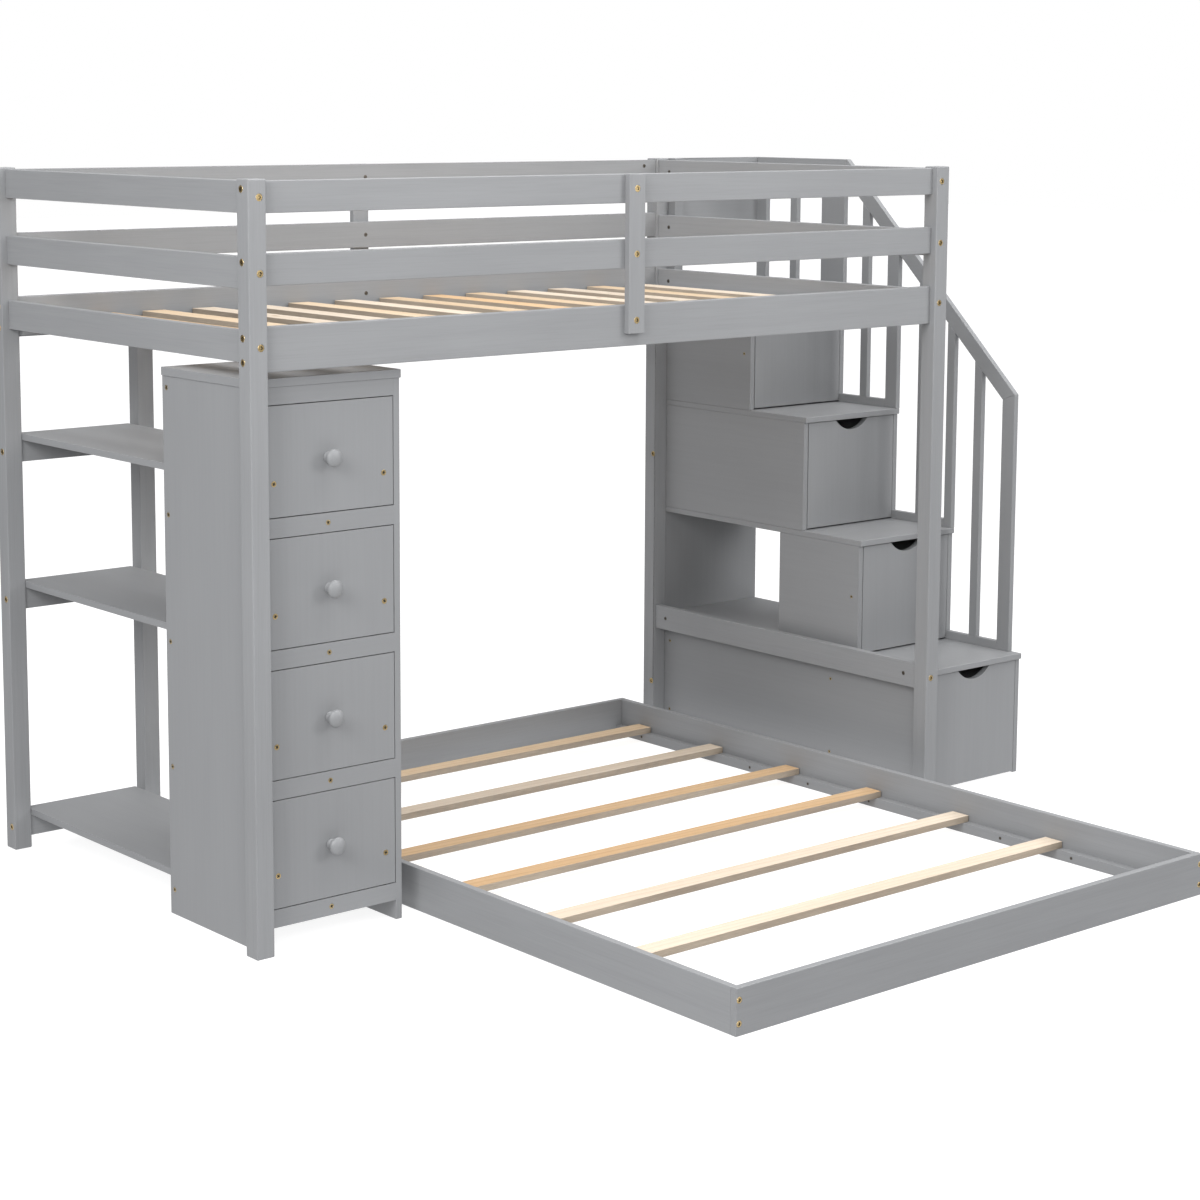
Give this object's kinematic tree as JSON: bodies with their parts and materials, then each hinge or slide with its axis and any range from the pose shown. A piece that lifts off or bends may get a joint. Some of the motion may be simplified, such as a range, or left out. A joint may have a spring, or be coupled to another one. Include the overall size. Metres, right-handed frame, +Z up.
{
  "type": "loft bed with desk",
  "caption": "Grey painted loft bed with guard rails over a floor bed, a drawer chest with open shelves at one end and storage stairs with a handrail at the other.",
  "frame": {"origin": "middle of the whole footprint, loft, stairs and floor bed together, on the floor", "axes": "+X along the loft towards the stairs, +Y from the open front to the back, +Z up"},
  "size_m": [2.362, 1.994, 1.572],
  "materials": {
    "painted_wood": "satin grey paint over solid pine with faint grain",
    "painted_panel": "satin grey paint over board",
    "pine": "bare planed pine",
    "zinc": "yellow zinc-plated socket screws"
  },
  "bodies": {
    "loft_frame": {"back_rail_low": "painted_wood", "back_rail_middle": "painted_wood", "back_rail_top": "painted_wood", "barrel_nuts": "zinc", "base_sides": "painted_wood", "chest_back": "painted_panel", "chest_rails": "painted_wood", "chest_runners": "painted_wood", "chest_sides": "painted_wood", "chest_top": "painted_wood", "frame_bolts": "zinc", "front_rail_low": "painted_wood", "front_rail_middle": "painted_wood", "front_rail_top": "painted_wood", "guard_balusters": "painted_wood", "guard_end_post": "painted_wood", "guard_foot_rails": "painted_wood", "guard_handrail": "painted_wood", "guard_posts": "painted_wood", "guard_strips": "painted_wood", "guard_top_rail": "painted_wood", "landing_back": "painted_wood", "left_end_rails": "painted_wood", "loft_ledgers": "painted_wood", "loft_slats": "pine", "panel_screws": "zinc", "post_back_left": "painted_wood", "post_back_right": "painted_wood", "post_front_left": "painted_wood", "post_front_right": "painted_wood", "right_end_rails": "painted_wood", "shelf_boards": "painted_wood", "shelf_rails": "painted_wood", "shelf_upright": "painted_wood", "stair_inner_boards": "painted_panel", "stair_tie_rail": "painted_wood", "step_2_sides": "painted_wood", "step_3_sides": "painted_wood", "step_4_sides": "painted_wood", "tread_1": "painted_wood", "tread_2": "painted_wood", "tread_3": "painted_wood", "tread_4": "painted_wood"},
    "chest_drawer_1": {"chest_drawer_1": "painted_wood", "chest_knob_1": "painted_wood"},
    "stair_drawer_1": {"stair_drawer_1": "painted_wood"},
    "chest_drawer_2": {"chest_drawer_2": "painted_wood", "chest_knob_2": "painted_wood"},
    "stair_drawer_2": {"stair_drawer_2": "painted_wood"},
    "chest_drawer_3": {"chest_drawer_3": "painted_wood", "chest_knob_3": "painted_wood"},
    "stair_drawer_3": {"stair_drawer_3": "painted_wood"},
    "chest_drawer_4": {"chest_drawer_4": "painted_wood", "chest_knob_4": "painted_wood"},
    "stair_drawer_4": {"stair_drawer_4": "painted_wood"},
    "floor_bed": {"floor_bed_sides": "painted_wood", "floor_bed_ends": "painted_wood", "floor_bed_ledgers": "painted_wood", "floor_bed_slats": "pine", "floor_bed_bolts": "zinc"}
  },
  "joints": [
    {"name": "chest_drawer_1_slide", "type": "slide", "parent": "loft_frame", "child": "chest_drawer_1", "axis": [0, -1, 0], "range_m": [0, 0.25]},
    {"name": "chest_drawer_2_slide", "type": "slide", "parent": "loft_frame", "child": "chest_drawer_2", "axis": [0, -1, 0], "range_m": [0, 0.25]},
    {"name": "chest_drawer_3_slide", "type": "slide", "parent": "loft_frame", "child": "chest_drawer_3", "axis": [0, -1, 0], "range_m": [0, 0.25]},
    {"name": "chest_drawer_4_slide", "type": "slide", "parent": "loft_frame", "child": "chest_drawer_4", "axis": [0, -1, 0], "range_m": [0, 0.25]},
    {"name": "stair_drawer_1_slide", "type": "slide", "parent": "loft_frame", "child": "stair_drawer_1", "axis": [0, -1, 0], "range_m": [0, 0.36]},
    {"name": "stair_drawer_2_slide", "type": "slide", "parent": "loft_frame", "child": "stair_drawer_2", "axis": [0, -1, 0], "range_m": [0, 0.19]},
    {"name": "stair_drawer_3_slide", "type": "slide", "parent": "loft_frame", "child": "stair_drawer_3", "axis": [0, -1, 0], "range_m": [0, 0.4]},
    {"name": "stair_drawer_4_slide", "type": "slide", "parent": "loft_frame", "child": "stair_drawer_4", "axis": [0, -1, 0], "range_m": [0, 0.24]},
    {"name": "floor_bed_slide", "type": "slide", "parent": "loft_frame", "child": "floor_bed", "axis": [0, -1, 0], "range_m": [0, 0.9]}
  ]
}
